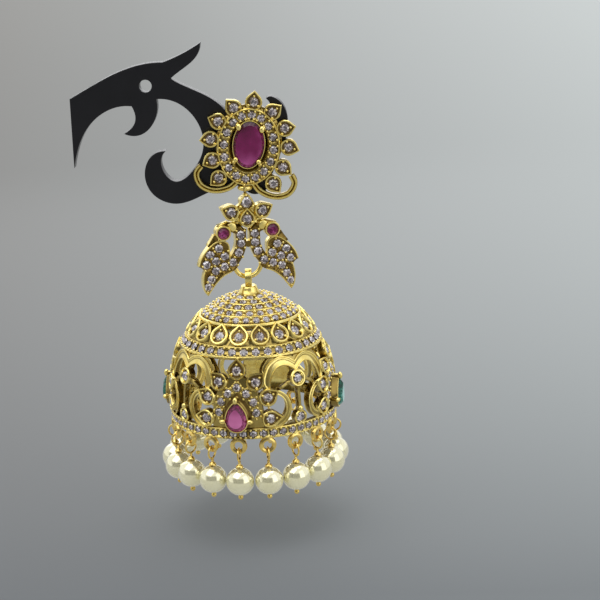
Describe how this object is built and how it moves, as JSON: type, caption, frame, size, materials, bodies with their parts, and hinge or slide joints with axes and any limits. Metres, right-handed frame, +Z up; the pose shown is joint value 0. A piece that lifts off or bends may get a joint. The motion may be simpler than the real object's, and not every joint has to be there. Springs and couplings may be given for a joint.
{
  "type": "jhumka earring on a display hook",
  "caption": "Gold-tone jhumka earring with an oval stud, a paired-bird motif, a pierced stone-set dome and a fringe of pearls, hanging on a flat scroll-shaped display hook.",
  "frame": {"origin": "centre of the display hook's flat end face, where the hook is fixed to its stand", "axes": "+Z up, -Y towards the viewer of the earring's front, +X from the fixed end towards the earring"},
  "size_m": [0.0408, 0.0292, 0.0675],
  "materials": {
    "gold": "bright yellow gold plating, polished",
    "ruby": "faceted red stone",
    "emerald": "faceted green stone",
    "clear_stone": "faceted clear stone",
    "pearl": "cream pearl lustre",
    "hook_plastic": "semi-gloss black"
  },
  "bodies": {
    "stud_on_hook": {"display_hook": "hook_plastic", "stud_frame": "gold", "post_clutch": "gold", "centre_ruby": "ruby", "stud_halo_stones": "clear_stone", "stud_petal_stones": "clear_stone"},
    "motif": {"motif_frame": "gold", "motif_ruby_left": "ruby", "motif_ruby_right": "ruby", "motif_petal_stones": "clear_stone", "motif_pave_stones": "clear_stone"},
    "dome": {"dome_frame": "gold", "dome_ruby_front": "ruby", "dome_ruby_back": "ruby", "dome_emerald_left": "emerald", "dome_emerald_right": "emerald", "crown_band_stones": "clear_stone", "flower_petal_stones": "clear_stone", "flower_halo_stones": "clear_stone", "heart_stones": "clear_stone", "rim_stones": "clear_stone", "pearl_01": "pearl", "pearl_02": "pearl", "pearl_03": "pearl", "pearl_04": "pearl", "pearl_05": "pearl", "pearl_06": "pearl", "pearl_07": "pearl", "pearl_08": "pearl", "pearl_09": "pearl", "pearl_10": "pearl", "pearl_11": "pearl", "pearl_12": "pearl", "pearl_13": "pearl", "pearl_14": "pearl", "pearl_15": "pearl", "pearl_16": "pearl", "pearl_17": "pearl", "pearl_18": "pearl", "pearl_pin_01": "gold", "pearl_pin_02": "gold", "pearl_pin_03": "gold", "pearl_pin_04": "gold", "pearl_pin_05": "gold", "pearl_pin_06": "gold", "pearl_pin_07": "gold", "pearl_pin_08": "gold", "pearl_pin_09": "gold", "pearl_pin_10": "gold", "pearl_pin_11": "gold", "pearl_pin_12": "gold", "pearl_pin_13": "gold", "pearl_pin_14": "gold", "pearl_pin_15": "gold", "pearl_pin_16": "gold", "pearl_pin_17": "gold", "pearl_pin_18": "gold"}
  },
  "joints": [
    {"name": "motif_swing", "type": "hinge", "parent": "stud_on_hook", "child": "motif", "pos_m": [0.026, -0.0033, -0.0089], "axis": [1, 0, 0], "range_deg": [-30, 18]},
    {"name": "dome_swing", "type": "hinge", "parent": "motif", "child": "dome", "pos_m": [0.026, -0.0033, -0.02265], "axis": [1, 0, 0], "range_deg": [-25, 25]}
  ]
}
